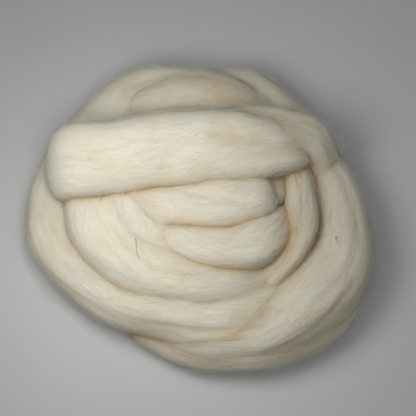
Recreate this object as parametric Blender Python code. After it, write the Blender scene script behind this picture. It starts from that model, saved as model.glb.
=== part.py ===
"""A nest of combed wool roving: one thick soft length, coiled by hand and laid down loosely.

The outer coil lies on the surface, smaller coils fill the middle, and one broad lay crosses
over the top with its left end folded under. The whole nest is one solid. Its lays are swept
from the tables below, filled behind by a low heart, and merged into a single skin.
"""

import math
from collections import namedtuple

import bmesh
import bpy
import numpy as np
from mathutils import Matrix, Vector

MM = 0.001

# Each row is a place on the middle line of a lay, in millimetres, with the lay's flat width
# and its thickness there, and how many degrees it is rolled about its own line.
ROW = namedtuple("ROW", "x y z across deep roll")
LAYS = {
    # lowest coil, along the right and the front, showing under the big outer lay
    "skirt": [
        (106, -7, 13, 26, 24, 0), (104, -26, 14, 32, 27, 0), (100, -46, 15, 35, 29, 0),
        (93, -65, 15, 36, 29, 0), (78, -79, 15, 36, 29, 0), (60, -89, 15, 36, 29, 0),
        (40, -94, 15, 36, 28, 0), (21, -95, 14, 35, 27, 0), (4, -94, 13, 33, 25, 0),
        (-13, -89, 12, 31, 24, 0), (-29, -83, 12, 28, 22, 0), (-45, -74, 11, 24, 20, 0)],
    # big outer lay, from behind the arch round the right side to the front
    "outer": [
        (-2, 92, 13, 28, 26, 0), (14, 97, 15, 32, 31, 0), (31, 97, 17, 34, 35, 0),
        (47, 87, 18, 36, 37, 0), (63, 70, 17, 38, 38, 0), (77, 53, 18, 38, 39, 0),
        (88, 31, 19, 37, 40, 0), (97, 9, 20, 38, 42, 0), (102, -15, 22, 40, 44, 0),
        (97, -40, 24, 45, 45, 0), (82, -60, 25, 49, 44, 0), (66, -76, 25, 43, 41, 0),
        (47, -88, 23, 37, 36, 0), (25, -93, 21, 31, 31, 0), (2, -92, 18, 29, 27, 0),
        (-20, -82, 14, 26, 23, 0), (-39, -70, 11, 24, 21, 0)],
    # arch at the back left, under the cross lay, down the left side and along the front
    "loop": [
        (45, 61, 19, 28, 32, 0), (29, 76, 25, 31, 37, 0), (13, 85, 28, 32, 39, 0),
        (-6, 93, 24, 31, 40, 0), (-29, 96, 20, 32, 40, 0), (-48, 91, 19, 34, 40, 0),
        (-62, 79, 18, 38, 39, 0), (-74, 63, 17, 41, 38, 0), (-86, 45, 17, 42, 37, 0),
        (-96, 25, 17, 42, 37, 0), (-101, 4, 17, 43, 37, 0), (-98, -18, 18, 43, 39, 0),
        (-87, -36, 19, 42, 41, 0), (-69, -51, 19, 43, 42, 0), (-47, -64, 20, 43, 43, 0),
        (-20, -72, 21, 43, 43, 0), (8, -76, 22, 44, 42, 0), (35, -74, 22, 44, 40, 0),
        (60, -62, 19, 40, 36, 0), (79, -43, 15, 34, 30, 0)],
    # second coil inside the left side, in two bundles that turn along the front
    "inner_left": [
        (-75, 27, 32, 42, 36, 0), (-70, 3, 35, 46, 36, 0), (-67, -18, 36, 44, 35, 0),
        (-56, -36, 36, 38, 33, 0), (-38, -49, 36, 34, 31, 0), (-12, -55, 36, 32, 31, 0),
        (12, -57, 35, 32, 31, 0), (32, -54, 31, 28, 28, 0), (46, -45, 24, 24, 22, 0)],
    "inner_right": [
        (-43, 21, 35, 44, 34, 0), (-41, -2, 37, 43, 34, 0), (-36, -22, 36, 38, 32, 0),
        (-26, -37, 34, 33, 29, 0), (-10, -45, 33, 30, 27, 0), (12, -49, 32, 28, 26, 0),
        (34, -46, 29, 26, 24, 0)],
    # three lobes in the middle
    "lobe_upper": [
        (-50, 9, 45, 14, 15, 0), (-37, 4, 46, 22, 22, 0), (-28, 0, 46, 30, 26, 0),
        (-17, -3, 45, 36, 29, 0), (0, -4, 45, 40, 30, 0), (18, -4, 45, 40, 30, 0),
        (36, -1, 44, 36, 30, 0), (52, 4, 41, 29, 28, 0)],
    "lobe_back": [
        (1, 10, 40, 30, 26, 0), (19, 8, 43, 34, 28, 0), (36, 8, 43, 32, 28, 0),
        (50, 12, 36, 27, 26, 0), (62, 13, 29, 24, 24, 0)],
    "lobe_lower": [
        (-31, -21, 38, 13, 14, 0), (-20, -24, 40, 22, 23, 0), (-8, -29, 41, 30, 29, 0),
        (6, -34, 42, 33, 30, 0), (25, -35, 42, 34, 30, 0), (43, -29, 41, 33, 30, 0),
        (54, -18, 36, 27, 28, 0), (60, -3, 28, 22, 22, 0)],
    # crescent right of the middle, running down into the front
    "crescent": [
        (70, 32, 30, 22, 26, 0), (71, 12, 35, 22, 28, 0), (72, -6, 37, 22, 29, 0),
        (71, -20, 37, 21, 28, 0), (67, -32, 36, 19, 26, 0), (60, -42, 34, 17, 24, 0),
        (52, -49, 31, 15, 21, 0), (44, -54, 27, 13, 18, 0)],
    # unseen back half of the second coil, under the cross lay
    "back_coil": [
        (-70, 28, 26, 36, 36, 0), (-55, 44, 28, 38, 42, 0), (-31, 51, 28, 38, 44, 0),
        (-2, 54, 28, 38, 44, 0), (26, 52, 28, 38, 44, 0), (50, 44, 28, 36, 42, 0),
        (67, 31, 26, 30, 36, 0)],
    # lobe between the arch and the cross lay
    "back_lobe": [
        (-47, 70, 24, 26, 28, 0), (-32, 76, 29, 30, 32, 0), (-10, 80, 31, 32, 32, 0),
        (12, 80, 31, 32, 30, 0), (31, 75, 29, 30, 28, 0), (47, 64, 25, 26, 26, 0)],
    # broad lay across the top, its left end folded under, its right end tucked down
    "cross": [
        (-48, 25, 34, 34, 24, 0), (-72, 24, 36, 40, 24, 0), (-88, 24, 40, 44, 24, 0),
        (-94, 23, 47, 48, 24, 0), (-89, 23, 56, 50, 26, 5), (-70, 24, 59, 51, 30, 10),
        (-44, 27, 60, 51, 31, 12), (-19, 31, 60, 50, 31, 12), (8, 33, 60, 50, 31, 12),
        (34, 33, 59, 46, 31, 10), (53, 33, 55, 38, 29, 5), (66, 34, 48, 29, 25, 0),
        (73, 35, 39, 20, 20, 0)],
    "cross_back": [
        (12, 49, 48, 26, 22, 0), (36, 50, 52, 30, 26, 0), (59, 48, 51, 33, 28, 0),
        (76, 45, 46, 32, 28, 0), (84, 38, 38, 28, 26, 0), (86, 30, 28, 24, 24, 0),
        (83, 24, 18, 20, 20, 0)],
}

HEART_SIZE = (164, 150, 60)    # the unseen filling behind the lays, as a flattened ball
HEART_PLACE = (-4, -3, 15)
HEART_SEGMENTS = (48, 24)

STEP = 5.0             # from one ring to the next along a lay
SIDES = 20             # of each ring
END_WIDTH = 0.15       # of the last ring of a lay, as a share of the lay's width
SECTION_POWER = 2.4    # 2 is an ellipse; more gives the flatter top of a squashed strand
SKIN_CELL = 2.6        # cell of the merged skin
SKIN_SMOOTHING = 4     # rounds of smoothing that soften the creases
SKIN_SOFTENING = 0.5   # strength of each round
SKIN_TRIANGLES = 9400
FLAT_BAND = 0.4        # skin this near the surface is laid flat on it
SHARP_ANGLE = 60       # degrees: only a fold sharper than this shows an edge

WOOL_COLOR = (0.80, 0.76, 0.66, 1.0)
WOOL_ROUGHNESS = 0.9


def smooth_rows(rows, step):
    """Rows read off one smooth curve through a table's rows, about a step apart."""
    keys = np.array(rows, dtype=float)
    spans = np.linalg.norm(np.diff(keys[:, :3], axis=0), axis=1)[:, None]
    rates = np.diff(keys, axis=0) / spans
    slopes = np.vstack([rates[0], np.zeros((len(keys) - 2, keys.shape[1])), rates[-1]])
    slopes[1:-1] = (rates[1:] * spans[:-1] + rates[:-1] * spans[1:]) / (spans[1:] + spans[:-1])
    out = []
    for i, span in enumerate(spans[:, 0]):
        count = max(2, round(span / step))
        for t in np.arange(count) / count:
            out.append(keys[i] * (1 + 2 * t) * (1 - t) ** 2
                       + keys[i + 1] * (3 - 2 * t) * t ** 2
                       + slopes[i] * span * t * (1 - t) ** 2
                       - slopes[i + 1] * span * t ** 2 * (1 - t))
    out.append(keys[-1])
    return np.array(out)


def round_ends(rows):
    """Narrow the rows near both ends, so that a lay ends in a half round."""
    steps = np.linalg.norm(np.diff(rows[:, :3], axis=0), axis=1)
    along = np.concatenate([[0.0], np.cumsum(steps)])
    from_end = np.minimum(along, along[-1] - along)
    half_deep = rows[:, ROW._fields.index("deep")] / 2
    near = np.clip(from_end / half_deep, 0.0, 1.0)
    narrowing = np.maximum(np.sqrt(1 - (1 - near) ** 2), END_WIDTH)
    for column in ("across", "deep"):
        rows[:, ROW._fields.index(column)] *= narrowing
    return rows


def carried_frames(places):
    """A frame for each place: its first axis runs across the lay, its third along it.

    The frames are carried along the line without twisting, starting level.
    """
    tangents = np.gradient(places, axis=0)
    tangents /= np.linalg.norm(tangents, axis=1)[:, None]
    across = Vector((0, 0, 1)).cross(Vector(tangents[0])).normalized()
    frames = []
    last = Vector(tangents[0])
    for place, tangent in zip(places, tangents):
        ahead = Vector(tangent)
        across = last.rotation_difference(ahead) @ across
        across = (across - ahead * across.dot(ahead)).normalized()
        last = ahead
        frame = Matrix((across, ahead.cross(across), ahead)).transposed().to_4x4()
        frame.translation = Vector(place)
        frames.append(frame)
    return frames


def squared_off(vert, power):
    """Move a point of a unit circle out to a superellipse of the given power."""
    x, y = vert.co.x, vert.co.y
    reach = (abs(x) ** power + abs(y) ** power) ** (-1.0 / power)
    vert.co.x, vert.co.y = x * reach, y * reach


def sweep_lay(bm, rows):
    """Add one closed lay: a ring at each row, bridged to the next, with both ends filled."""
    rows = round_ends(smooth_rows(rows, STEP))
    frames = carried_frames(rows[:, :3])
    last_edges = None
    for number, (values, frame) in enumerate(zip(rows, frames)):
        row = ROW(*values)
        is_end = number in (0, len(rows) - 1)
        ring = bmesh.ops.create_circle(bm, segments=SIDES, radius=1.0, cap_ends=is_end)
        for vert in ring["verts"]:
            squared_off(vert, SECTION_POWER)
        size = Matrix.Diagonal((row.across / 2, row.deep / 2, 1.0, 1.0))
        roll = Matrix.Rotation(math.radians(row.roll), 4, "Z")
        place = Matrix.Scale(MM, 4) @ frame @ roll @ size
        bmesh.ops.transform(bm, matrix=place, verts=ring["verts"])
        edges = list(dict.fromkeys(edge for vert in ring["verts"] for edge in vert.link_edges))
        if last_edges:
            bmesh.ops.bridge_loops(bm, edges=last_edges + edges)
        last_edges = edges


def add_heart(bm):
    """Add the filling behind the lays, a flattened ball sunk a little into the surface."""
    size = Matrix.Diagonal((*[s / 2 * MM for s in HEART_SIZE], 1.0))
    place = Matrix.Translation([p * MM for p in HEART_PLACE])
    around, up = HEART_SEGMENTS
    bmesh.ops.create_uvsphere(
        bm, u_segments=around, v_segments=up, radius=1.0, matrix=place @ size)


def merge_skin(obj):
    """Turn the overlapping lays into one skin with soft creases."""
    remesh = obj.modifiers.new("merge", "REMESH")
    remesh.mode = "VOXEL"
    remesh.voxel_size = SKIN_CELL * MM
    soften = obj.modifiers.new("soften", "SMOOTH")
    soften.factor = SKIN_SOFTENING
    soften.iterations = SKIN_SMOOTHING
    graph = bpy.context.evaluated_depsgraph_get()
    mesh = bpy.data.meshes.new_from_object(obj.evaluated_get(graph))
    obj.modifiers.clear()
    obj.data = mesh


def keep_outer_skin(bm):
    """Delete any skin that isn't part of the largest one, such as a void's wall."""
    unseen = set(bm.verts)
    largest = set()
    while unseen:
        found = {unseen.pop()}
        frontier = list(found)
        while frontier:
            vert = frontier.pop()
            for edge in vert.link_edges:
                other = edge.other_vert(vert)
                if other in unseen:
                    unseen.discard(other)
                    found.add(other)
                    frontier.append(other)
        if len(found) > len(largest):
            largest = found
    spare = [vert for vert in bm.verts if vert not in largest]
    bmesh.ops.delete(bm, geom=spare, context="VERTS")


def lay_flat(bm, band):
    """Lay everything below the band onto the surface, as flat resting spots."""
    for vert in bm.verts:
        if vert.co.z < band:
            vert.co.z = 0.0


def thin_out(obj, triangles):
    """Reduce the skin to the given number of triangles."""
    thin = obj.modifiers.new("thin", "DECIMATE")
    thin.ratio = triangles / sum(len(face.vertices) - 2 for face in obj.data.polygons)
    graph = bpy.context.evaluated_depsgraph_get()
    mesh = bpy.data.meshes.new_from_object(obj.evaluated_get(graph))
    obj.modifiers.clear()
    obj.data = mesh


def edit(obj, *changes):
    """Run each change on the object's mesh."""
    bm = bmesh.new()
    bm.from_mesh(obj.data)
    for change in changes:
        change(bm)
    bm.to_mesh(obj.data)
    bm.free()


def stand_on_origin(bm):
    """Put the middle of the box's base at the origin."""
    corners = np.array([vert.co for vert in bm.verts])
    middle = (corners.min(axis=0) + corners.max(axis=0)) / 2
    shift = Vector((-middle[0], -middle[1], 0.0))
    bmesh.ops.translate(bm, vec=shift, verts=bm.verts)


def wool_material():
    material = bpy.data.materials.new("wool")
    material.use_nodes = True
    shader = material.node_tree.nodes["Principled BSDF"]
    shader.inputs["Base Color"].default_value = WOOL_COLOR
    shader.inputs["Roughness"].default_value = WOOL_ROUGHNESS
    shader.inputs["Metallic"].default_value = 0.0
    return material


def make_nest():
    mesh = bpy.data.meshes.new("roving_nest")
    nest = bpy.data.objects.new("roving_nest", mesh)
    bpy.context.collection.objects.link(nest)
    edit(nest, *[lambda bm, rows=rows: sweep_lay(bm, rows) for rows in LAYS.values()], add_heart)
    merge_skin(nest)
    edit(nest, keep_outer_skin, lambda bm: lay_flat(bm, FLAT_BAND * MM))
    thin_out(nest, SKIN_TRIANGLES)
    edit(nest, lambda bm: lay_flat(bm, FLAT_BAND * MM), stand_on_origin)
    nest.data.materials.clear()
    nest.data.materials.append(wool_material())
    nest.data.shade_smooth()
    nest.data.set_sharp_from_angle(angle=math.radians(SHARP_ANGLE))
    return nest


def main():
    for old in list(bpy.data.objects):
        bpy.data.objects.remove(old, do_unlink=True)
    make_nest()


main()
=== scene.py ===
"""Looks of a nest of combed wool roving.

Every lay of the nest is a soft tube with slow lumps, folds and grooves along it, worked out
from the same short tables as the solid. Thousands of single fibres lie along its skin and
stand off it.
Table values and the sizes below are in millimetres; the scene is in metres.
"""

import math
from collections import namedtuple

import bmesh
import bpy
import numpy as np
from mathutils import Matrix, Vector


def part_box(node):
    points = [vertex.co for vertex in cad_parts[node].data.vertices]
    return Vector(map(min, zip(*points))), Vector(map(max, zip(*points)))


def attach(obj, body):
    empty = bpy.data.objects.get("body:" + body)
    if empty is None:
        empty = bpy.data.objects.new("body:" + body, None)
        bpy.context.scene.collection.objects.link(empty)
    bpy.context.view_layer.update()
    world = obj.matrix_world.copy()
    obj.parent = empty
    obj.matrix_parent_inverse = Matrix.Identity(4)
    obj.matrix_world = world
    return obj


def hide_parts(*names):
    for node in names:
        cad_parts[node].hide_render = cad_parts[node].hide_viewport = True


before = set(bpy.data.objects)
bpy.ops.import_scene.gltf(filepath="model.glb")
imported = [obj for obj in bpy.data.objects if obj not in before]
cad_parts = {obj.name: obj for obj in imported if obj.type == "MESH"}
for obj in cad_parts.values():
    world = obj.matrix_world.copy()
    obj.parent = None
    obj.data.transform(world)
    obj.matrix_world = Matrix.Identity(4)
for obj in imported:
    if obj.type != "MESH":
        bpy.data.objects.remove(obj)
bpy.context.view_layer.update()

MM = 0.001
NODE = "roving_nest"
BODY = "root"

# A place on the middle line of a lay, its flat width and thickness there, and its roll.
ROW = namedtuple("ROW", "x y z across deep roll")
LAYS = {
    "skirt": [
        (106, -7, 13, 26, 24, 0), (104, -26, 14, 32, 27, 0), (100, -46, 15, 35, 29, 0),
        (93, -65, 15, 36, 29, 0), (78, -79, 15, 36, 29, 0), (60, -89, 15, 36, 29, 0),
        (40, -94, 15, 36, 28, 0), (21, -95, 14, 35, 27, 0), (4, -94, 13, 33, 25, 0),
        (-13, -89, 12, 31, 24, 0), (-29, -83, 12, 28, 22, 0), (-45, -74, 11, 24, 20, 0)],
    "outer": [
        (-2, 92, 13, 28, 26, 0), (14, 97, 15, 32, 31, 0), (31, 97, 17, 34, 35, 0),
        (47, 87, 18, 36, 37, 0), (63, 70, 17, 38, 38, 0), (77, 53, 18, 38, 39, 0),
        (88, 31, 19, 37, 40, 0), (97, 9, 20, 38, 42, 0), (102, -15, 22, 40, 44, 0),
        (97, -40, 24, 45, 45, 0), (82, -60, 25, 49, 44, 0), (66, -76, 25, 43, 41, 0),
        (47, -88, 23, 37, 36, 0), (25, -93, 21, 31, 31, 0), (2, -92, 18, 29, 27, 0),
        (-20, -82, 14, 26, 23, 0), (-39, -70, 11, 24, 21, 0)],
    "loop": [
        (45, 61, 19, 28, 32, 0), (29, 76, 25, 31, 37, 0), (13, 85, 28, 32, 39, 0),
        (-6, 93, 24, 31, 40, 0), (-29, 96, 20, 32, 40, 0), (-48, 91, 19, 34, 40, 0),
        (-62, 79, 18, 38, 39, 0), (-74, 63, 17, 41, 38, 0), (-86, 45, 17, 42, 37, 0),
        (-96, 25, 17, 42, 37, 0), (-101, 4, 17, 43, 37, 0), (-98, -18, 18, 43, 39, 0),
        (-87, -36, 19, 42, 41, 0), (-69, -51, 19, 43, 42, 0), (-47, -64, 20, 43, 43, 0),
        (-20, -72, 21, 43, 43, 0), (8, -76, 22, 44, 42, 0), (35, -74, 22, 44, 40, 0),
        (60, -62, 19, 40, 36, 0), (79, -43, 15, 34, 30, 0)],
    "inner_left": [
        (-75, 27, 32, 42, 36, 0), (-70, 3, 35, 46, 36, 0), (-67, -18, 36, 44, 35, 0),
        (-56, -36, 36, 38, 33, 0), (-38, -49, 36, 34, 31, 0), (-12, -55, 36, 32, 31, 0),
        (12, -57, 35, 32, 31, 0), (32, -54, 31, 28, 28, 0), (46, -45, 24, 24, 22, 0)],
    "inner_right": [
        (-43, 21, 35, 44, 34, 0), (-41, -2, 37, 43, 34, 0), (-36, -22, 36, 38, 32, 0),
        (-26, -37, 34, 33, 29, 0), (-10, -45, 33, 30, 27, 0), (12, -49, 32, 28, 26, 0),
        (34, -46, 29, 26, 24, 0)],
    "lobe_upper": [
        (-50, 9, 45, 14, 15, 0), (-37, 4, 46, 22, 22, 0), (-28, 0, 46, 30, 26, 0),
        (-17, -3, 45, 36, 29, 0), (0, -4, 45, 40, 30, 0), (18, -4, 45, 40, 30, 0),
        (36, -1, 44, 36, 30, 0), (52, 4, 41, 29, 28, 0)],
    "lobe_back": [
        (1, 10, 40, 30, 26, 0), (19, 8, 43, 34, 28, 0), (36, 8, 43, 32, 28, 0),
        (50, 12, 36, 27, 26, 0), (62, 13, 29, 24, 24, 0)],
    "lobe_lower": [
        (-31, -21, 38, 13, 14, 0), (-20, -24, 40, 22, 23, 0), (-8, -29, 41, 30, 29, 0),
        (6, -34, 42, 33, 30, 0), (25, -35, 42, 34, 30, 0), (43, -29, 41, 33, 30, 0),
        (54, -18, 36, 27, 28, 0), (60, -3, 28, 22, 22, 0)],
    "crescent": [
        (70, 32, 30, 22, 26, 0), (71, 12, 35, 22, 28, 0), (72, -6, 37, 22, 29, 0),
        (71, -20, 37, 21, 28, 0), (67, -32, 36, 19, 26, 0), (60, -42, 34, 17, 24, 0),
        (52, -49, 31, 15, 21, 0), (44, -54, 27, 13, 18, 0)],
    "back_coil": [
        (-70, 28, 26, 36, 36, 0), (-55, 44, 28, 38, 42, 0), (-31, 51, 28, 38, 44, 0),
        (-2, 54, 28, 38, 44, 0), (26, 52, 28, 38, 44, 0), (50, 44, 28, 36, 42, 0),
        (67, 31, 26, 30, 36, 0)],
    "back_lobe": [
        (-47, 70, 24, 26, 28, 0), (-32, 76, 29, 30, 32, 0), (-10, 80, 31, 32, 32, 0),
        (12, 80, 31, 32, 30, 0), (31, 75, 29, 30, 28, 0), (47, 64, 25, 26, 26, 0)],
    "cross": [
        (-48, 25, 34, 34, 24, 0), (-72, 24, 36, 40, 24, 0), (-88, 24, 40, 44, 24, 0),
        (-94, 23, 47, 48, 24, 0), (-89, 23, 56, 50, 26, 5), (-70, 24, 59, 51, 30, 10),
        (-44, 27, 60, 51, 31, 12), (-19, 31, 60, 50, 31, 12), (8, 33, 60, 50, 31, 12),
        (34, 33, 59, 46, 31, 10), (53, 33, 55, 38, 29, 5), (66, 34, 48, 29, 25, 0),
        (73, 35, 39, 20, 20, 0)],
    "cross_back": [
        (12, 49, 48, 26, 22, 0), (36, 50, 52, 30, 26, 0), (59, 48, 51, 33, 28, 0),
        (76, 45, 46, 32, 28, 0), (84, 38, 38, 28, 26, 0), (86, 30, 28, 24, 24, 0),
        (83, 24, 18, 20, 20, 0)],
}

HEART_SIZE = (160, 146, 56)    # the unseen filling behind the lays, as a flattened ball
HEART_PLACE = (-4, -3, 15)
HEART_SEGMENTS = (48, 24)

# the skin of a lay
SECTION_POWER = 2.4    # 2 is an ellipse; more gives the flatter top of a squashed strand
CURVE_STEP = 1.5       # from one place of its middle line to the next
RING_STEP = 3.0        # from one ring of its skin to the next
SIDES = 80             # of each ring
END_WIDTH = 0.12       # of the last ring of a lay, as a share of the lay's width
FLOOR_GAP = 0.2        # the lowest that the skin and the fibres reach
MAP_LENGTH = 100       # of a lay, in one unit of its UV map; the turn around is one too

# slow ridges on the skin: how many around, how long, how high
Ridges = namedtuple("Ridges", "around long high")
LUMPS = Ridges((1, 3), 70, 0.6)
FOLDS = Ridges((3, 8), 90, 0.24)
LOCKS = Ridges((10, 26), 60, 0.05)

# long shallow grooves between the locks: the length and the turn (in degrees) they run
# between, and their depth and width
Groove = namedtuple("Groove", "lay start end turn_start turn_end deep wide")
GROOVES = [
    Groove("loop", 205, 322, 148, 140, 0.8, 3.0),
    Groove("loop", 320, 405, 132, 126, 1.3, 3.0),
    Groove("loop", 40, 120, 110, 75, 0.9, 3.5),
    Groove("loop", 225, 300, 96, 70, 0.8, 3.0),
    Groove("outer", 205, 275, 38, 30, 1.4, 3.0),
    Groove("outer", 120, 240, 66, 58, 0.9, 3.5),
    Groove("outer", 60, 150, 100, 110, 0.8, 3.0),
    Groove("lobe_upper", 25, 85, 62, 112, 0.9, 2.6),
    Groove("lobe_lower", 20, 70, 70, 88, 0.6, 3.0),
    Groove("inner_left", 60, 140, 66, 100, 0.8, 3.2),
    Groove("crescent", 20, 90, 100, 82, 0.5, 2.6),
    Groove("cross", 150, 250, 250, 285, 0.8, 4.0),
    Groove("cross", 160, 188, 248, 284, 0.4, 7.0),
    Groove("cross", 198, 220, 292, 262, 0.6, 5.0),
    Groove("cross_back", 20, 100, 60, 80, 0.8, 3.0),
]
GROOVE_FADE = 18.0     # the length over which a groove comes and goes
GROOVE_SHADE = 0.3     # how much painted crease shade a groove gets, for each millimetre of depth

# where two lays meet, both swell a little, so that the crease is soft
SOFTNESS = 1.0
SOFT_REACH = 6.0       # and three times the swelling, where that is more
# pairs of lays that run into each other, and how much they swell
SOFT_PAIRS = {
    ("loop", "outer"): 1.6,
    ("skirt", "outer"): 2.0,
    ("inner_left", "inner_right"): 4.5,
    ("lobe_upper", "lobe_back"): 4.5,
    ("lobe_upper", "inner_right"): 3.0,
    ("lobe_lower", "inner_right"): 3.0,
    ("back_lobe", "back_coil"): 3.0,
    ("back_lobe", "loop"): 3.0,
    ("back_lobe", "outer"): 5.0,
    ("back_coil", "loop"): 4.0,
    ("back_coil", "outer"): 4.0,
    ("cross", "cross_back"): 1.8,
    ("cross_back", "outer"): 1.8,
    ("cross_back", "back_coil"): 3.0,
    ("cross_back", "back_lobe"): 3.0,
    ("crescent", "loop"): 3.5,
    ("crescent", "inner_left"): 3.0,
    ("cross", "loop"): 2.4,
    ("inner_left", "loop"): 1.7,
}

# how far from a neighbouring lay shade is painted on the wool: close in, and more widely
CREASE_REACH = 2.4
HOLLOW_REACH = 9.0
FLOOR_SHADE_REACH = 9.0      # how high above the floor the same painted shade reaches
FLOOR_SHADE = 0.5     # how much painted hollow shade the wool on the floor gets
SHALLOW_SHADE = 0.55         # how much painted hollow shade two lays leave between them
DEEP_SHADE = 1.25            # and how much these pairs leave, painted as a dark shaded gap between them
DEEP_SHADE_PAIRS = [
    ("crescent", "outer"), ("lobe_upper", "crescent"), ("lobe_lower", "crescent"),
    ("cross", "crescent"), ("cross_back", "crescent"),
    ("lobe_back", "crescent"), ("lobe_back", "cross"), ("back_lobe", "loop"),
    ("back_lobe", "back_coil")]

# single fibres: how many to a square centimetre, how long, how many joints, how wide, how
# high they stand off, how far they stray sideways, the height and the length of their crimp,
# and how far they are tilted off the skin, in radians
Fibres = namedtuple("Fibres", "thick long joints wide lift stray crimp wave tilt")
COMBED = Fibres(15, (12, 28), 9, (0.08, 0.18), (0.05, 0.4), 0.8, 0.25, 5.2, 0.2)
LOOSE = Fibres(42, (8, 22), 7, (0.06, 0.12), (0.3, 3.2), 1.6, 0.3, 8.0, 0.6)
FLYAWAY = Fibres(4.0, (12, 28), 11, (0.08, 0.13), (2.5, 8.0), 5.0, 0.6, 9.0, 0.6)
STRAY_LENGTH = 12      # the length in which a fibre strays that far
PIECE_TRIANGLES = 190000

# dark hairs left in the wool: where they lie on a lay, with the turn in degrees, and how long
DARK = Fibres(0, (10, 10), 14, (0.32, 0.38), (5.0, 6.0), 1.4, 0.3, 7.0, 0.5)
Hair = namedtuple("Hair", "lay along turn long")
DARK_HAIRS = [
    Hair("inner_right", 50, 120, 18), Hair("lobe_lower", 46, 25, 9),
    Hair("lobe_lower", 52, 28, 6), Hair("cross_back", 30, 130, 5),
    Hair("inner_right", 18, 118, 5), Hair("inner_right", 20, 108, 4),
    Hair("loop", 352, 70, 8), Hair("outer", 190, 95, 6), Hair("inner_left", 30, 80, 7)]

# wool that can be seen: clear of the floor, not facing down, and open this far above it
OPEN_HEIGHT = 2
FACING_DOWN = -0.7
OPEN_ROOM = 5.0
OPEN_GAP = 0.2

SEED = 11


# ------------------------------------------------------------------ curves and sections


def smooth_rows(rows, step):
    """Rows read off one smooth curve through a table's rows, about a step apart."""
    keys = np.array(rows, dtype=float)
    spans = np.linalg.norm(np.diff(keys[:, :3], axis=0), axis=1)[:, None]
    rates = np.diff(keys, axis=0) / spans
    slopes = np.vstack([rates[0], np.zeros((len(keys) - 2, keys.shape[1])), rates[-1]])
    slopes[1:-1] = (rates[1:] * spans[:-1] + rates[:-1] * spans[1:]) / (spans[1:] + spans[:-1])
    out = []
    for i, span in enumerate(spans[:, 0]):
        parts = max(2, round(span / step))
        t = np.arange(parts)[:, None] / parts
        out.append(keys[i] * (1 + 2 * t) * (1 - t) ** 2
                   + keys[i + 1] * (3 - 2 * t) * t ** 2
                   + slopes[i] * span * t * (1 - t) ** 2
                   - slopes[i + 1] * span * t ** 2 * (1 - t))
    return np.vstack(out + [keys[-1:]])


def unit(vectors):
    """Vectors made one long."""
    return vectors / np.maximum(np.linalg.norm(vectors, axis=-1, keepdims=True), 1e-9)


def carried_across(tangents):
    """The direction across a lay at each place, carried along it without twisting."""
    across = Vector((0, 0, 1)).cross(Vector(tangents[0])).normalized()
    out = []
    last = Vector(tangents[0])
    for tangent in tangents:
        ahead = Vector(tangent)
        across = last.rotation_difference(ahead) @ across
        across = (across - ahead * across.dot(ahead)).normalized()
        last = ahead
        out.append(across)
    return np.array(out)


class Pattern:
    """A streaky pattern on a lay's skin: a sum of long waves wrapped around it."""

    WAVES = 22

    def __init__(self, rng, ridges):
        self.turns = rng.integers(ridges.around[0], ridges.around[1] + 1, self.WAVES)
        self.rates = rng.normal(0, 2 * math.pi / ridges.long, self.WAVES)
        self.phases = rng.uniform(0, 2 * math.pi, self.WAVES)

    def at(self, along, turn):
        """The pattern's value there, around 0 and mostly between -2 and 2."""
        total = np.zeros(np.broadcast(along, turn).shape)
        for turns, rate, phase in zip(self.turns, self.rates, self.phases):
            total += np.cos(turns * turn + rate * along + phase)
        return total * math.sqrt(2 / self.WAVES)


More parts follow.
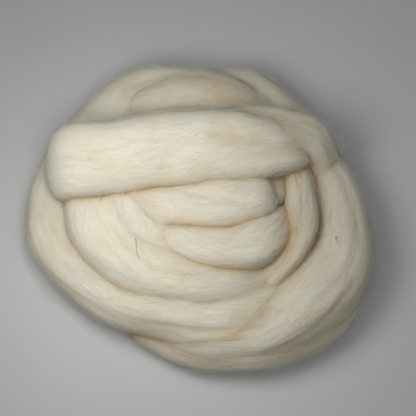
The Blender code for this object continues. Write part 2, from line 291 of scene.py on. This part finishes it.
class Lay:
    """One lay of the nest: places on its skin are given by a length along and a turn."""

    BATCH = 20000
    SLACK = 2.0            # a place is still beside the lay this far past the nearest section

    def __init__(self, name, table, rng):
        self.name = name
        rows = smooth_rows(table, CURVE_STEP)
        column = dict(zip(ROW._fields, rows.T))
        centre = rows[:, :3]
        steps = np.linalg.norm(np.diff(centre, axis=0), axis=1)
        self.along = np.concatenate([[0.0], np.cumsum(steps)])
        self.length = self.along[-1]
        self.centre = centre
        self.ahead = unit(np.gradient(centre, axis=0))
        across = carried_across(self.ahead)
        up = np.cross(self.ahead, across)
        roll = np.radians(column["roll"])[:, None]
        self.across = across * np.cos(roll) + up * np.sin(roll)
        self.up = up * np.cos(roll) - across * np.sin(roll)
        half_deep = column["deep"] / 2
        from_end = np.minimum(self.along, self.length - self.along)
        near = np.clip(from_end / half_deep, 0.0, 1.0)
        self.narrowing = np.maximum(np.sqrt(1 - (1 - near) ** 2), END_WIDTH)
        self.half_deep = half_deep * self.narrowing
        self.half_wide = column["across"] / 2 * self.narrowing
        # a lay that has turned over at a fold carries its seam on the side that faces down
        middle = len(rows) // 2
        self.seam = -math.pi / 2 if self.up[middle, 2] > 0 else math.pi / 2
        self.kept = {}
        self.patterns = [(ridges.high, Pattern(rng, ridges)) for ridges in (LUMPS, FOLDS, LOCKS)]

    def read(self, values, along):
        """Read a value, or a vector, kept for each row, at any lengths along."""
        if values.ndim == 1:
            return np.interp(along, self.along, values)
        return np.stack([np.interp(along, self.along, column) for column in values.T], axis=-1)

    def relief(self, along, turn):
        """How far the skin stands out of the plain section, in its lumps, folds and locks."""
        high = sum(high * pattern.at(along, turn) for high, pattern in self.patterns)
        return high * self.read(self.narrowing, along) - self.groove_depth(along, turn)

    def groove_depth(self, along, turn):
        """How deep the grooves are there."""
        total = np.zeros(np.broadcast(along, turn).shape)
        for groove in [groove for groove in GROOVES if groove.lay == self.name]:
            share = (along - groove.start) / (groove.end - groove.start)
            line = np.radians(groove.turn_start + (groove.turn_end - groove.turn_start) * share)
            apart = (turn - line + math.pi) % (2 * math.pi) - math.pi
            beyond = np.maximum(groove.start - along, along - groove.end)
            fade = np.clip(0.5 - beyond / GROOVE_FADE, 0, 1)
            across = apart * self.girth(along) / groove.wide
            total += groove.deep * fade ** 2 * (3 - 2 * fade) * np.exp(-across ** 2)
        return total

    def girth(self, along):
        """The mean radius of the lay."""
        return (self.read(self.half_wide, along) + self.read(self.half_deep, along)) / 2

    def skin(self, along, turn, lift=0.0):
        """Places on the skin, lifted off it, and the way out of the skin there."""
        cos, sin = np.cos(turn), np.sin(turn)
        reach = np.abs(cos) ** SECTION_POWER + np.abs(sin) ** SECTION_POWER
        reach = reach ** (-1 / SECTION_POWER)
        wide, deep = self.read(self.half_wide, along), self.read(self.half_deep, along)
        across, up = self.read(self.across, along), self.read(self.up, along)
        sharp = SECTION_POWER - 1
        out_x = np.sign(cos) * np.abs(cos * reach) ** sharp / wide
        out_y = np.sign(sin) * np.abs(sin * reach) ** sharp / deep
        out = unit(across * out_x[..., None] + up * out_y[..., None])
        stand = self.relief(along, turn) + self.look_up("swell", along, turn) + lift
        place = (self.read(self.centre, along)
                 + across * (cos * reach * wide)[..., None]
                 + up * (sin * reach * deep)[..., None]
                 + out * stand[..., None])
        return place, out

    def keep(self, name, values):
        """Remember a value of the skin, on a grid of rings and shares of the turn."""
        self.kept[name] = values

    def look_up(self, name, along, turn):
        """A kept value at any places on the skin."""
        if name not in self.kept:
            return 0.0
        values = self.kept[name]
        rings, columns = values.shape
        row = np.clip(along / self.length, 0, 1) * (rings - 1)
        column = ((turn - self.seam) / (2 * math.pi) % 1.0) * (columns - 1)
        row, column = np.broadcast_arrays(row, column)
        r = np.minimum(row.astype(int), rings - 2)
        c = np.minimum(column.astype(int), columns - 2)
        u, v = row - r, column - c
        return ((values[r, c] * (1 - u) + values[r + 1, c] * u) * (1 - v)
                + (values[r, c + 1] * (1 - u) + values[r + 1, c + 1] * u) * v)

    def clearance(self, places):
        """About how far places are outside this lay's plain form; less than 0 is inside.

        Every other place of the middle line will do, and a batch of places at a time.
        """
        every = slice(None, None, 2)
        centre = self.centre[every].astype(np.float32)
        result = np.empty(len(places))
        for start in range(0, len(places), self.BATCH):
            part = places[start:start + self.BATCH].astype(np.float32)
            apart = (np.sum(part ** 2, axis=1)[:, None] - 2 * part @ centre.T
                     + np.sum(centre ** 2, axis=1)[None])
            nearest = np.argmin(apart, axis=1)
            offset = part - centre[nearest]
            x = np.sum(offset * self.across[every][nearest], axis=1)
            y = np.sum(offset * self.up[every][nearest], axis=1)
            beyond = np.abs(np.sum(offset * self.ahead[every][nearest], axis=1))
            share = (np.abs(x / self.half_wide[every][nearest]) ** SECTION_POWER
                     + np.abs(y / self.half_deep[every][nearest]) ** SECTION_POWER)
            share = np.maximum(share, 1e-6) ** (1 / SECTION_POWER)
            gap = np.hypot(x, y) * (1 - 1 / share)
            past = np.maximum(beyond - self.SLACK, 0.0)
            result[start:start + self.BATCH] = np.where(gap > 0, np.hypot(gap, past), gap + past)
        return result


def softness_between(lay, other):
    """How much two lays swell where they meet."""
    pair = (lay.name, other.name)
    return SOFT_PAIRS.get(pair, SOFT_PAIRS.get(pair[::-1], SOFTNESS))


def hollow_shade_between(lay, other):
    """How much painted hollow shade two lays leave between them."""
    pair = (lay.name, other.name)
    return DEEP_SHADE if pair in DEEP_SHADE_PAIRS or pair[::-1] in DEEP_SHADE_PAIRS else SHALLOW_SHADE


def meet_neighbours(lay, lays, places):
    """How much places on a lay swell, and how much painted shade they get in a crease or a
    hollow.

    Crease is 1 where lays touch and falls to 0 close by; it sets the painted crease shade and
    glow. Hollow sets the painted hollow shade: it starts from SHALLOW_SHADE or DEEP_SHADE
    there, or from FLOOR_SHADE at the floor, and falls to 0 more widely. Between lays that
    run into each other, both are less.
    """
    swell = np.zeros(len(places))
    crease = np.zeros(len(places))
    # painted shade low on the wool, darker towards the floor
    hollow = FLOOR_SHADE * np.exp(-np.maximum(places[:, 2], 0) / FLOOR_SHADE_REACH)
    for other in lays:
        if other is not lay:
            gap = other.clearance(places)
            softness = softness_between(lay, other)
            near = np.clip(1 - gap / max(SOFT_REACH, 3 * softness), 0, 1)
            swell = np.maximum(swell, softness * np.where(gap < 0, 1.0, near ** 2))
            # crease and hollow measure how much shade is painted there, not any change in the
            # wool
            sharp = 1 / (1 + max(0.0, softness - SOFTNESS))
            crease = np.maximum(crease, sharp * np.exp(-np.maximum(gap, 0) / CREASE_REACH))
            deep = sharp * hollow_shade_between(lay, other)
            hollow = np.maximum(hollow, deep * np.exp(-np.maximum(gap, 0) / HOLLOW_REACH))
    return {"swell": swell, "crease": crease, "hollow": hollow}


def is_open(lay, lays, places, out):
    """True for places on a lay that can be seen: nothing lies on them or close above."""
    clear = (places[:, 2] > OPEN_HEIGHT) & (out[:, 2] > FACING_DOWN)
    for room in (0.0, OPEN_ROOM):
        for other in lays:
            if other is not lay:
                clear[clear] = other.clearance(places[clear] + out[clear] * room) > OPEN_GAP
    return clear


# ------------------------------------------------------------------ pieces


def finish_piece(obj, material):
    """Give a piece its material, hang it on its body and hide the CAD part that it stands for.
    """
    bpy.context.collection.objects.link(obj)
    obj.data.materials.append(material)
    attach(obj, BODY)
    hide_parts(NODE)
    return obj


def set_uv(mesh, uv_of_vertex):
    """Store a UV map given as one pair for each vertex."""
    layer = mesh.uv_layers.new(name="UVMap") if not mesh.uv_layers else mesh.uv_layers[0]
    corner = np.empty(len(mesh.loops), dtype=np.int32)
    mesh.loops.foreach_get("vertex_index", corner)
    layer.data.foreach_set("uv", uv_of_vertex[corner].astype(np.float32).ravel())


def set_value(mesh, name, value_of_vertex):
    """Store a number for each vertex as an attribute."""
    layer = mesh.attributes.new(name, "FLOAT", "POINT")
    layer.data.foreach_set("value", value_of_vertex.astype(np.float32))


def grid_mesh(name, columns, rows):
    """A flat grid of vertices, row after row, ready to be given its places."""
    bm = bmesh.new()
    bmesh.ops.create_grid(bm, x_segments=columns - 1, y_segments=rows - 1, size=1.0)
    mesh = bpy.data.meshes.new(name)
    bm.to_mesh(mesh)
    bm.free()
    return mesh


def close_tube(mesh):
    """Join a rolled-up grid along its seam, fill both of its ends and turn it outwards."""
    bm = bmesh.new()
    bm.from_mesh(mesh)
    bmesh.ops.remove_doubles(bm, verts=bm.verts, dist=0.00001)
    ends = [edge for edge in bm.edges if edge.is_boundary]
    bmesh.ops.holes_fill(bm, edges=ends, sides=0)
    bmesh.ops.recalc_face_normals(bm, faces=bm.faces)
    bm.to_mesh(mesh)
    bm.free()


def make_lay(lay, lays, origin, material):
    """The skin of one lay as a closed tube, with its UV map and the masks of its painted crease
    and hollow shade.
    """
    rings = max(8, round(lay.length / RING_STEP)) + 1
    along = np.repeat(np.linspace(0, lay.length, rings), SIDES + 1)
    share = np.tile(np.linspace(0, 1, SIDES + 1), rings)
    turn = lay.seam + share * 2 * math.pi
    meeting = meet_neighbours(lay, lays, lay.skin(along, turn)[0])
    # grooves get painted crease shade as well as their real depth
    painted_groove_shade = GROOVE_SHADE * lay.groove_depth(along, turn)
    meeting["crease"] = np.maximum(meeting["crease"], painted_groove_shade)
    for name, values in meeting.items():
        lay.keep(name, values.reshape(rings, SIDES + 1))
    places, _ = lay.skin(along, turn)
    places = places.reshape(rings, SIDES + 1, 3)
    places[:, -1] = places[:, 0]
    places = places.reshape(-1, 3)
    places[:, 2] = np.maximum(places[:, 2], FLOOR_GAP)
    mesh = grid_mesh(lay.name, SIDES + 1, rings)
    mesh.vertices.foreach_set("co", (places * MM + origin).astype(np.float32).ravel())
    set_uv(mesh, np.stack([along / MAP_LENGTH, share], axis=-1))
    # masks of painted shade and glow for the materials
    set_value(mesh, "crease", meeting["crease"])
    set_value(mesh, "hollow", meeting["hollow"])
    close_tube(mesh)
    mesh.shade_smooth()
    return finish_piece(bpy.data.objects.new(f"lay_{lay.name}", mesh), material)


def comb(lay, lays, kind, rng):
    """Many fibres spread evenly over the open skin of one lay."""
    skin_area = lay.length * 2 * math.pi * lay.girth(np.array([lay.length / 2]))[0]
    count = round(kind.thick * skin_area / 100)
    along = rng.uniform(1, lay.length - 1, count)
    turn = rng.uniform(-0.5 * math.pi, 1.5 * math.pi, count)
    clear = is_open(lay, lays, *lay.skin(along, turn))
    return draw_fibres(lay, along[clear, None], turn[clear, None], kind, rng)


def draw_fibres(lay, along, turn, kind, rng):
    """The places, sideways directions and values of fibres centred at places on a lay."""

    def draw(low, high):
        return rng.uniform(low, high, along.shape)

    t = np.linspace(-0.5, 0.5, kind.joints + 1)[None]
    long = draw(*kind.long)
    crimp = kind.crimp * draw(0.4, 1.0)
    phase = 2 * math.pi * (t * long / kind.wave + draw(0, 1))
    bend = 2 * math.pi * (t * draw(0.5, 1.1) + draw(0, 1))
    heading = rng.normal(0, kind.stray / STRAY_LENGTH, along.shape)
    sideways = heading * t * long + draw(0.3, 1.0) * kind.stray * np.sin(bend)
    sideways += crimp * np.sin(phase)
    # some arch up in the middle, others have one end free
    arch = np.cos(math.pi * t) ** 0.7
    free = (t + 0.5) ** 1.6
    lift = draw(*kind.lift) * draw(0.3, 1.0)
    rise = lift * np.where(draw(0, 1) < 0.6, arch, free) - 0.12 * (1 - arch)
    rise += crimp * 0.5 * np.cos(phase) * np.clip(rise, 0, 1)
    turns = turn + sideways / np.maximum(lay.girth(along), 4.0)
    lengths = np.clip(along + t * long, 0.3, lay.length - 0.3)
    places, out = lay.skin(lengths, turns, rise)
    ahead = unit(np.gradient(places, axis=1))
    side = unit(np.cross(out, ahead))
    roll = (draw(-1, 1) + draw(-1, 1) * 2 * t) * kind.tilt
    side = side * np.cos(roll)[..., None] + np.cross(ahead, side) * np.sin(roll)[..., None]
    width = draw(*kind.wide) * (1 - (2 * np.abs(t)) ** 4 * 0.85)
    tone = np.repeat(draw(0, 1), kind.joints + 1, axis=1)
    # the painted crease and hollow shade of the skin below, for the fibre's colour
    shade = [lay.look_up(name, lengths, turns) for name in ("crease", "hollow")]
    return places, side * width[..., None], tone, *shade


def make_fibres(name, combed, origin, material):
    """Fibres drawn on several lays, in a few meshes of thin ribbons."""
    arrays = [np.concatenate(parts) for parts in zip(*combed)]
    joints = arrays[0].shape[1] - 1
    pieces = math.ceil(len(arrays[0]) * joints * 2 / PIECE_TRIANGLES)
    for number, batch in enumerate(zip(*[np.array_split(array, pieces) for array in arrays])):
        places, side, *values = batch
        places[..., 2] = np.maximum(places[..., 2], FLOOR_GAP)
        edges = np.stack([places - side / 2, places + side / 2], axis=2)
        mesh = ribbon_meshes(f"{name}_{number + 1}", len(places), joints)
        mesh.vertices.foreach_set("co", (edges * MM + origin).astype(np.float32).ravel())
        for value, each in zip(("tone", "crease", "hollow"), values):
            set_value(mesh, value, np.repeat(each.ravel(), 2))
        mesh.shade_smooth()
        finish_piece(bpy.data.objects.new(mesh.name, mesh), material)


def make_dark_hairs(lays, origin, material, rng):
    """The few dark hairs that were left in the wool."""
    drawn = []
    for lay in lays:
        for hair in [hair for hair in DARK_HAIRS if hair.lay == lay.name]:
            kind = DARK._replace(long=(hair.long, hair.long))
            place = np.array([[float(hair.along)]])
            drawn.append(draw_fibres(lay, place, np.radians([[hair.turn]]), kind, rng))
    make_fibres("dark_hairs", drawn, origin, material)


def ribbon_meshes(name, count, joints):
    """One mesh of many short ribbons, ready to be given their places."""
    strip = bpy.data.objects.new("strip", grid_mesh("strip", 2, joints + 1))
    bpy.context.collection.objects.link(strip)
    array = strip.modifiers.new("many", "ARRAY")
    array.count = count
    graph = bpy.context.evaluated_depsgraph_get()
    mesh = bpy.data.meshes.new_from_object(strip.evaluated_get(graph))
    mesh.name = name
    bpy.data.objects.remove(strip)
    return mesh


def make_heart(origin, material):
    """The unseen filling behind the lays."""
    around, up = HEART_SEGMENTS
    bm = bmesh.new()
    bmesh.ops.create_uvsphere(bm, u_segments=around, v_segments=up, radius=1.0)
    for vert in bm.verts:
        place = Vector(HEART_PLACE) + Vector([c * s / 2 for c, s in zip(vert.co, HEART_SIZE)])
        place.z = max(place.z, FLOOR_GAP)
        vert.co = place * MM + Vector(origin)
    mesh = bpy.data.meshes.new("heart")
    bm.to_mesh(mesh)
    bm.free()
    mesh.shade_smooth()
    set_uv_from_place(mesh)
    # the unseen filling is painted all through with the darkest crease and hollow shade
    set_value(mesh, "crease", np.ones(len(mesh.vertices)))
    set_value(mesh, "hollow", np.ones(len(mesh.vertices)))
    return finish_piece(bpy.data.objects.new("heart", mesh), material)


def set_uv_from_place(mesh):
    """A plain UV map seen from above, for a piece that nothing shows of."""
    places = np.empty(len(mesh.vertices) * 3, dtype=np.float32)
    mesh.vertices.foreach_get("co", places)
    set_uv(mesh, places.reshape(-1, 3)[:, :2] / (MAP_LENGTH * MM))


# ------------------------------------------------------------------ materials


class Wire:
    """A shader socket that can be used in sums."""

    def __init__(self, shop, socket):
        self.shop = shop
        self.socket = socket

    def _maths(self, operation, a, b=0.0):
        """A Math node worked on two wires or numbers."""
        return self.shop.node("Math", {"operation": operation}, {0: a, 1: b})[0]

    def __add__(self, other):
        return self._maths("ADD", self, other)

    def __radd__(self, other):
        return self._maths("ADD", other, self)

    def __sub__(self, other):
        return self._maths("SUBTRACT", self, other)

    def __rsub__(self, other):
        return self._maths("SUBTRACT", other, self)

    def __mul__(self, other):
        return self._maths("MULTIPLY", self, other)

    def __rmul__(self, other):
        return self._maths("MULTIPLY", other, self)

    def __pow__(self, other):
        return self._maths("POWER", self, other)

    def clamped(self, low=0.0, high=1.0):
        """The same value, held between two others."""
        return self.shop.node("Clamp", {}, {"Value": self, "Min": low, "Max": high})[0]


class Shop:
    """Makes the nodes of one material, or of the light around the nest."""

    def __init__(self, owner):
        owner.use_nodes = True
        self.tree = owner.node_tree

    def node(self, kind, settings, inputs):
        """Add a node: its settings first, then its sockets; gives its outputs as wires."""
        made = self.tree.nodes.new(f"ShaderNode{kind}")
        for name, value in settings.items():
            setattr(made, name, value)
        for key, value in inputs.items():
            self.feed(made.inputs[key], value)
        return [Wire(self, socket) for socket in made.outputs]

    def feed(self, socket, value):
        """Link a wire to a socket, or set the socket to a value."""
        if isinstance(value, Wire):
            self.tree.links.new(value.socket, socket)
        else:
            socket.default_value = value

    def set(self, node, **values):
        """Set sockets of a node that is there from the start, named with _ for a space."""
        for name, value in values.items():
            self.feed(self.tree.nodes[node].inputs[name.replace("_", " ")], value)

    def mix(self, share, a, b):
        """Mix two colours, which are sockets 6 and 7 of the node, into its output 2."""
        return self.node("Mix", {"data_type": "RGBA"}, {"Factor": share, 6: a, 7: b})[2]

    def stored(self, name):
        """A number stored on the mesh, which is output 2 of the node."""
        return self.node("Attribute", {"attribute_name": name}, {})[2]

    def place(self):
        """The place in metres, which is output 3 of the node."""
        return self.node("TexCoord", {}, {})[3]

    def sine(self, value):
        """The sine of a value in radians."""
        return self.node("Math", {"operation": "SINE"}, {0: value})[0]

    def vector(self, x, y, z=0.0):
        """A vector made of three wires or numbers."""
        return self.node("CombineXYZ", {}, {0: x, 1: y, 2: z})[0]

    def noise(self, place, scale, detail=2.0, rough=0.5):
        """A plain noise from 0 to 1 over a place vector."""
        return self.node(
            "TexNoise", {"noise_dimensions": "3D"},
            {"Vector": place, "Scale": scale, "Detail": detail, "Roughness": rough})[0]


# streaks in the skin: how many to MAP_LENGTH along a lay, and to a turn around it
Streaks = namedtuple("Streaks", "along around")
WANDER = Streaks(9.0, 6.0)
PATCHES = Streaks(6.0, 14.0)
FINE = Streaks(9.0, 170.0)
LINES = Streaks(6.0, 72.0)
BROAD = Streaks(3.0, 26.0)
STREAK_WAVE = 5.2      # the length of the crimp in the streaks
STREAK_CRIMP = 0.0036  # and its height, as a share of the way around
STREAK_WANDER = 0.05   # how far the streaks wander, as a share of the way around

# how strongly the painted shade comes in: painted warm shade (tan) in a hollow, a painted warm
# glow (amber) and then painted dark shadow (brown) in a crease
HOLLOW_SHADE_TAN = 0.62
CREASE_GLOW_AMBER = 0.95
CREASE_UNEVEN = 0.5    # how much the painted amber glow follows the streaks
CREASE_SHADOW_BROWN = 0.75
MOST = 0.9             # of the painted tan shade or amber glow anywhere

CREAM = (0.89, 0.848, 0.72, 1.0)
MILK = (0.93, 0.912, 0.84, 1.0)
STRAW = (0.79, 0.73, 0.55, 1.0)
# painted shade, painted glow of light through the wool and painted shadow, for creases and
# hollows
SHADE_TAN = (0.60, 0.46, 0.27, 1.0)
GLOW_AMBER = (0.72, 0.52, 0.25, 1.0)
SHADOW_BROWN = (0.24, 0.15, 0.07, 1.0)
DARK_HAIR = (0.16, 0.11, 0.07, 1.0)
DARKEST_HAIR = (0.07, 0.05, 0.035, 1.0)
FLOOR_PALE = (0.66, 0.675, 0.685, 1.0)
FLOOR_PALEST = (0.69, 0.705, 0.715, 1.0)


def painted_crease_shade(shop, colour, variation):
    """Paint shade into a colour in the creases and hollows of the nest: warm tan shade, an amber
    glow of light through the wool and a dark brown shadow.
    """
    crease = shop.stored("crease")
    hollow = shop.stored("hollow")
    wide = hollow ** 1.5 * HOLLOW_SHADE_TAN
    close = crease ** 1.3 * CREASE_GLOW_AMBER + (variation - 0.5) * crease * CREASE_UNEVEN
    colour = shop.mix(wide.clamped(0.0, MOST), colour, SHADE_TAN)
    colour = shop.mix(close.clamped(0.0, MOST), colour, GLOW_AMBER)
    return shop.mix((crease ** 5.0 * CREASE_SHADOW_BROWN).clamped(), colour, SHADOW_BROWN)


def wool_skin():
    """Combed wool seen as a mass: crimped streaks along the lay, with painted warm shade and
    glow in the creases.
    """
    material = bpy.data.materials.new("wool_skin")
    shop = Shop(material)
    uv = shop.node("UVMap", {"uv_map": "UVMap"}, {})[0]
    u, v, _ = shop.node("SeparateXYZ", {}, {0: uv})

    def streaked(kind, side, *detail):
        return shop.noise(shop.vector(u * kind.along, side * kind.around), 1.0, *detail)

    wander = streaked(WANDER, v)
    patches = streaked(PATCHES, v)
    waves = 2 * math.pi * MAP_LENGTH / STREAK_WAVE
    crimp = shop.sine(u * waves + patches * 40.0) * STREAK_CRIMP
    side = v + (wander - 0.5) * STREAK_WANDER + crimp * (patches * 2.2 - 0.3).clamped()
    fine = streaked(FINE, side, 3.0, 0.6)
    lines = streaked(LINES, side, 2.0, 0.6)
    broad = streaked(BROAD, side)
    colour = shop.mix(clouds(shop), CREAM, MILK)
    streaks = (fine - 0.5) * 0.7 + (lines - 0.5) * 0.9 + (broad - 0.5) * 0.4 + 0.14
    colour = shop.mix(streaks.clamped(0.0, 0.7), colour, STRAW)
    # painted shade and glow in the creases and hollows
    colour = painted_crease_shade(shop, colour, fine)
    height = fine * 0.35 + lines * 0.7 + broad * 0.5
    bump = shop.node("Bump", {}, {"Strength": 0.4, "Distance": 0.0008, "Height": height})[0]
    shop.set("Principled BSDF", Base_Color=colour, Roughness=0.78 + fine * 0.2, Normal=bump,
             Subsurface_Weight=0.4, Subsurface_Radius=(1.0, 0.82, 0.55), Subsurface_Scale=0.010,
             Sheen_Weight=0.15, Sheen_Roughness=0.5, Specular_IOR_Level=0.2)
    return material


def clouds(shop):
    """A soft slow change of tone over the whole nest, from 0 to 1."""
    return ((shop.noise(shop.place(), 38.0) - 0.5) * 2.6 + 0.5).clamped()


def wool_fibre(name, pale, deep):
    """A single fibre, each with a tone of its own, with shade painted in where it lies in a
    crease or a hollow.
    """
    material = bpy.data.materials.new(name)
    shop = Shop(material)
    tone = shop.stored("tone")
    share = (tone * 0.5 + (1 - clouds(shop)) * 0.7).clamped()
    colour = painted_crease_shade(shop, shop.mix(share, pale, deep), tone)
    shop.set("Principled BSDF", Base_Color=colour, Roughness=0.55 + tone * 0.25,
             Specular_IOR_Level=0.3)
    return material


def floor_finish():
    """Plain pale studio floor with the faintest mottling."""
    material = bpy.data.materials.new("pale_floor")
    shop = Shop(material)
    mottle = shop.noise(shop.place(), 14.0, 3.0)
    colour = shop.mix(mottle, FLOOR_PALE, FLOOR_PALEST)
    shop.set("Principled BSDF", Base_Color=colour, Roughness=0.80 + mottle * 0.1,
             Specular_IOR_Level=0.2)
    return material


# ------------------------------------------------------------------ studio


CAMERA_RISE = 70.0     # degrees above level
CAMERA_LENS = 85.0
SENSOR = 36.0
VIEW_WIDTH = 1.200     # of the picture at the nest, in nest widths
VIEW_CENTRE = (7.0, -0.7, 30.0)

KEY_PLACE = (-0.065, -0.045, 0.24)    # in metres
KEY_SIZE = 0.12
KEY_POWER = 0.265
KEY_COLOUR = (1.0, 0.982, 0.94)
SKY_ANGLE = 90.0       # degrees across, for very soft shadows
SKY_POWER = 0.70
SKY_COLOUR = (0.99, 0.99, 0.97)
SKY_FROM = (-0.15, -0.15, 1.0)
FAINT_COLOUR = (0.92, 0.97, 1.0, 1.0)
FAINT_POWER = 0.07
BACKDROP_COLOUR = (0.96, 0.98, 1.0, 1.0)
BACKDROP_POWER = 0.30
FLOOR_HALF = 3.0       # metres from the middle of the floor to its edge
FLOOR_SQUARES = 8


def make_camera(origin, nest_width):
    """A camera that looks down at the nest from the front."""
    data = bpy.data.cameras.new("camera")
    data.lens = CAMERA_LENS
    data.sensor_width = SENSOR
    camera = bpy.data.objects.new("camera", data)
    bpy.context.collection.objects.link(camera)
    rise = math.radians(CAMERA_RISE)
    away = nest_width * VIEW_WIDTH * CAMERA_LENS / SENSOR
    target = Vector(origin) + Vector(VIEW_CENTRE) * MM
    camera.location = target + Vector((0, -math.cos(rise), math.sin(rise))) * away
    camera.rotation_euler = (math.pi / 2 - rise, 0, 0)
    bpy.context.scene.camera = camera


def make_key_light(aim):
    """A square soft light above the front left, facing the aim."""
    data = bpy.data.lights.new("key", "AREA")
    data.size = KEY_SIZE
    data.energy = KEY_POWER
    data.color = KEY_COLOUR
    light = bpy.data.objects.new("key", data)
    bpy.context.collection.objects.link(light)
    light.location = KEY_PLACE
    light.visible_camera = False
    light.rotation_euler = (Vector(aim) - Vector(KEY_PLACE)).to_track_quat("-Z", "Y").to_euler()


def make_sky_light():
    """A very soft even light from above, a little from the front left."""
    data = bpy.data.lights.new("sky", "SUN")
    data.angle = math.radians(SKY_ANGLE)
    data.energy = SKY_POWER
    data.color = SKY_COLOUR
    light = bpy.data.objects.new("sky", data)
    bpy.context.collection.objects.link(light)
    light.rotation_euler = Vector(SKY_FROM).to_track_quat("Z", "Y").to_euler()


def make_surroundings():
    """A pale backdrop that lights the nest only faintly."""
    world = bpy.data.worlds.new("studio")
    bpy.context.scene.world = world
    shop = Shop(world)
    shop.set("Background", Color=FAINT_COLOUR, Strength=FAINT_POWER)
    faint = Wire(shop, shop.tree.nodes["Background"].outputs[0])
    seen = shop.node("Background", {}, {"Color": BACKDROP_COLOUR, "Strength": BACKDROP_POWER})[0]
    from_camera = shop.node("LightPath", {}, {})[0]
    both = shop.node("MixShader", {}, {0: from_camera, 1: faint, 2: seen})[0]
    shop.set("World Output", Surface=both)


def make_studio(origin):
    """The floor and the lights."""
    bm = bmesh.new()
    bmesh.ops.create_grid(
        bm, x_segments=FLOOR_SQUARES, y_segments=FLOOR_SQUARES, size=FLOOR_HALF)
    mesh = bpy.data.meshes.new("floor")
    bm.to_mesh(mesh)
    bm.free()
    floor = bpy.data.objects.new("floor", mesh)
    bpy.context.collection.objects.link(floor)
    floor.data.materials.append(floor_finish())
    make_key_light(origin)
    make_sky_light()
    make_surroundings()
    bpy.context.scene.view_settings.view_transform = "Standard"


def main():
    """Build the nest's looks on the solid's box, then the studio around it."""
    low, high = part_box(NODE)
    origin = np.array([(low[0] + high[0]) / 2, (low[1] + high[1]) / 2, low[2]])
    rng = np.random.default_rng(SEED)
    lays = [Lay(name, table, rng) for name, table in LAYS.items()]
    make_camera(origin, high[0] - low[0])
    skin = wool_skin()
    for lay in lays:
        make_lay(lay, lays, origin, skin)
    make_heart(origin, skin)
    fibre = wool_fibre("wool_fibre", MILK, CREAM)
    for name, kind in {"combed": COMBED, "loose": LOOSE, "flyaway": FLYAWAY}.items():
        make_fibres(name, [comb(lay, lays, kind, rng) for lay in lays], origin, fibre)
    hair = wool_fibre("dark_hair", DARK_HAIR, DARKEST_HAIR)
    make_dark_hairs(lays, origin, hair, rng)
    make_studio(origin)


main()
